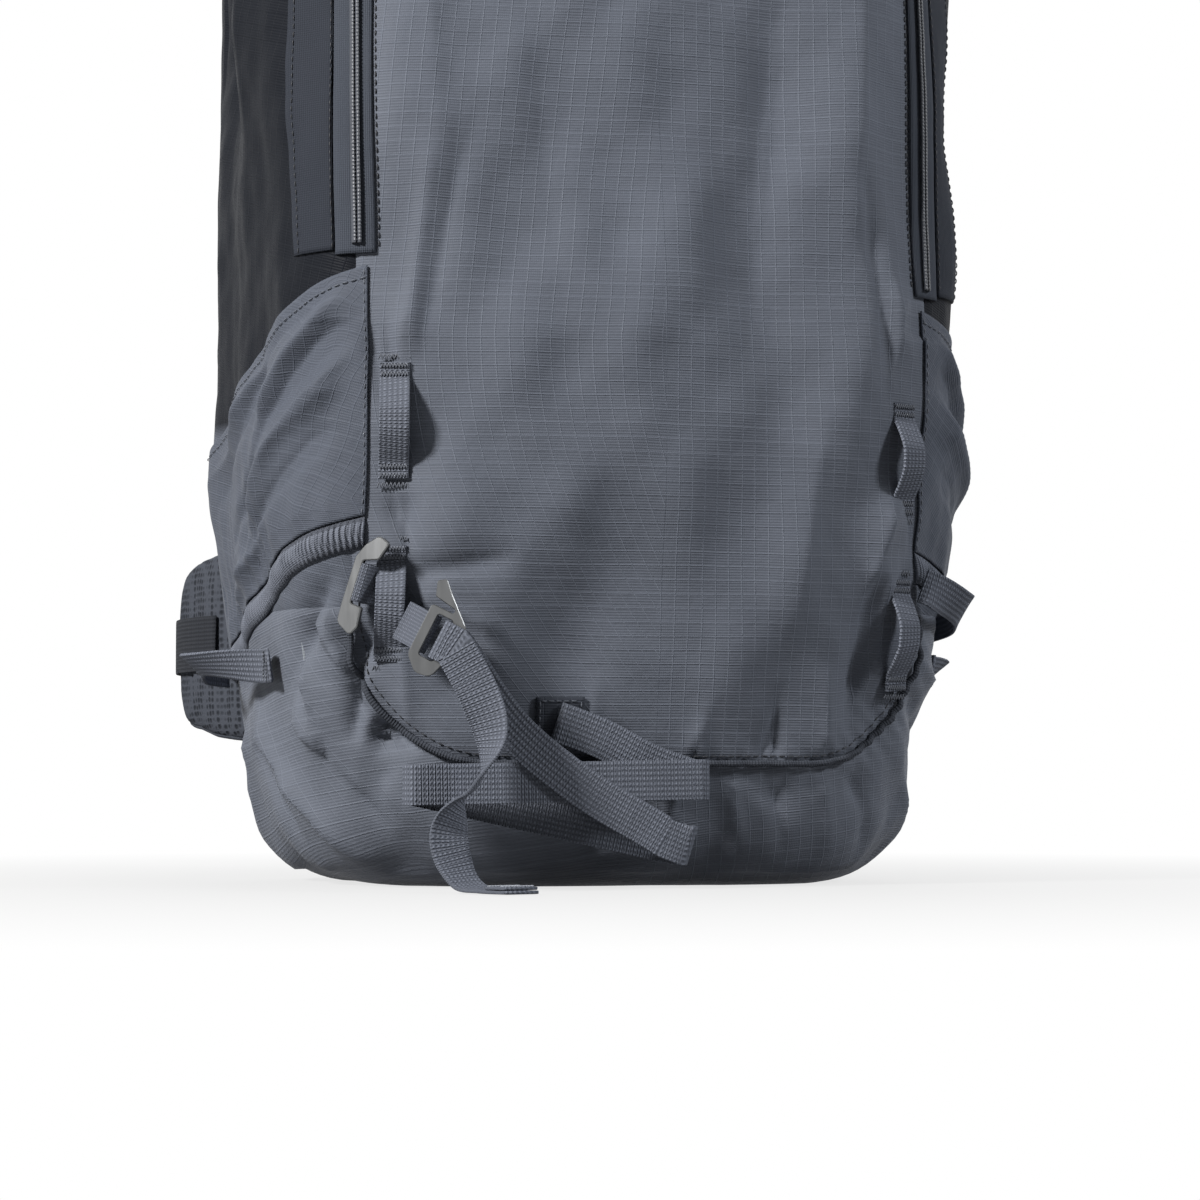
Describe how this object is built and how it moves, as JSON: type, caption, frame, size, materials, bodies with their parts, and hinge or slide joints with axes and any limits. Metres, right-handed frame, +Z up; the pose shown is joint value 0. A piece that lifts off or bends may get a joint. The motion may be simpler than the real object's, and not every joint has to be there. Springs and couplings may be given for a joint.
{
  "type": "ski touring backpack",
  "caption": "Tall soft backpack with an arched front zip, side wings, gear loops, a diagonal ski strap with metal hooks, padded harness and hip belt.",
  "frame": {"origin": "centre of the flat base that the pack stands on", "axes": "+Z up, -Y the outer face with the zip and ski strap, +Y the wearer's back, +X to the right seen from the outer face"},
  "size_m": [0.345, 0.4612, 0.6019],
  "materials": {
    "shell_cloth": "fine ripstop weave",
    "wing_cloth": "fine ripstop weave, lighter",
    "dark_cloth": "dense plain weave",
    "elastic": "ribbed elastic",
    "webbing": "woven polyamide webbing",
    "pad_mesh": "spacer mesh over foam",
    "zip_tape": "zip tape",
    "zip_coil": "nylon coil",
    "hardware": "matte acetal",
    "aluminium": "satin, tumbled",
    "zip_metal": "dark enamel",
    "sheet_plastic": "polyethylene board",
    "stay_metal": "mill finish",
    "lining": "light lining"
  },
  "bodies": {
    "pack": {"front_panel": "shell_cloth", "back_panel": "dark_cloth", "bottom_panel": "shell_cloth", "top_panel": "shell_cloth", "side_panel_left": "shell_cloth", "side_panel_right": "shell_cloth", "zip_tape": "zip_tape", "zip_coil": "zip_coil", "seam_piping": "shell_cloth", "wing_left": "wing_cloth", "wing_right": "wing_cloth", "wing_hem_left": "elastic", "wing_hem_right": "elastic", "compartment_divider": "lining", "frame_sheet": "sheet_plastic", "frame_stays": "stay_metal", "top_zip_tape": "zip_tape", "top_zip_coil": "zip_coil", "gear_loop_upper_left": "webbing", "gear_loop_upper_right": "webbing", "gear_loop_lower_left": "webbing", "gear_loop_lower_right": "webbing", "haul_loop": "webbing", "hook_webbing": "webbing", "g_hook_buckle": "aluminium", "buckle_webbing": "webbing", "ski_loop_webbing": "webbing", "ski_strap_tail": "webbing", "ski_strap_anchor": "dark_cloth", "side_strap_right": "webbing", "compression_straps": "webbing", "back_pad_right": "pad_mesh", "back_pad_left": "pad_mesh", "lumbar_pad": "pad_mesh", "shoulder_strap_right": "pad_mesh", "shoulder_strap_left": "pad_mesh", "strap_adjusters": "hardware", "adjuster_tabs": "webbing", "lower_webbing_right": "webbing", "lower_webbing_left": "webbing", "load_lifters": "webbing", "lifter_adjusters": "hardware", "sternum_rails": "hardware"},
    "zip_slider_right": {"zip_slider_right": "zip_metal"},
    "zip_pull_right": {"zip_pull_right": "hardware"},
    "zip_slider_left": {"zip_slider_left": "zip_metal"},
    "zip_pull_left": {"zip_pull_left": "hardware"},
    "top_zip_slider": {"top_zip_slider": "zip_metal"},
    "top_zip_pull": {"top_zip_pull": "hardware"},
    "t_bar_hook": {"t_bar_hook": "aluminium"},
    "hip_wing_right": {"hip_wing_right": "pad_mesh", "belt_webbing_right": "webbing", "buckle_female": "hardware"},
    "hip_wing_left": {"hip_wing_left": "pad_mesh", "belt_webbing_left": "webbing", "buckle_male": "hardware"},
    "sternum_strap": {"sternum_sliders": "hardware", "sternum_webbing": "webbing", "sternum_buckle_female": "hardware", "sternum_buckle_male": "hardware"}
  },
  "joints": [
    {"name": "front_zip_right", "type": "slide", "parent": "pack", "child": "zip_slider_right", "axis": [0, 0.0567, 0.9984], "range_m": [-0.14, 0]},
    {"name": "front_zip_left", "type": "slide", "parent": "pack", "child": "zip_slider_left", "axis": [0, 0.0567, 0.9984], "range_m": [-0.14, 0]},
    {"name": "pull_swing_right", "type": "hinge", "parent": "zip_slider_right", "child": "zip_pull_right", "pos_m": [0.12405, -0.08616, 0.40826], "axis": [-0.8379, -0.5458, 0], "range_deg": [0, 110]},
    {"name": "pull_swing_left", "type": "hinge", "parent": "zip_slider_left", "child": "zip_pull_left", "pos_m": [-0.12405, -0.08616, 0.40826], "axis": [-0.8379, 0.5458, 0], "range_deg": [0, 110]},
    {"name": "top_zip", "type": "slide", "parent": "pack", "child": "top_zip_slider", "axis": [1, 0, 0], "range_m": [0, 0.1]},
    {"name": "top_pull_swing", "type": "hinge", "parent": "top_zip_slider", "child": "top_zip_pull", "pos_m": [-0.05, 0.016, 0.5883], "axis": [0, -1, 0], "range_deg": [0, 150]},
    {"name": "hook_turn", "type": "hinge", "parent": "pack", "child": "t_bar_hook", "pos_m": [-0.1222, -0.0924, 0.1217], "axis": [-0.261, 0.1721, -0.9499], "range_deg": [0, 120]},
    {"name": "hip_wing_swing_right", "type": "hinge", "parent": "pack", "child": "hip_wing_right", "pos_m": [0.112, 0.103, 0.105], "axis": [0, 0, -1], "range_deg": [0, 60]},
    {"name": "hip_wing_swing_left", "type": "hinge", "parent": "pack", "child": "hip_wing_left", "pos_m": [-0.112, 0.103, 0.105], "axis": [0, 0, 1], "range_deg": [0, 60]},
    {"name": "sternum_height", "type": "slide", "parent": "pack", "child": "sternum_strap", "axis": [0, 0, 1], "range_m": [-0.014, 0.018]}
  ]
}
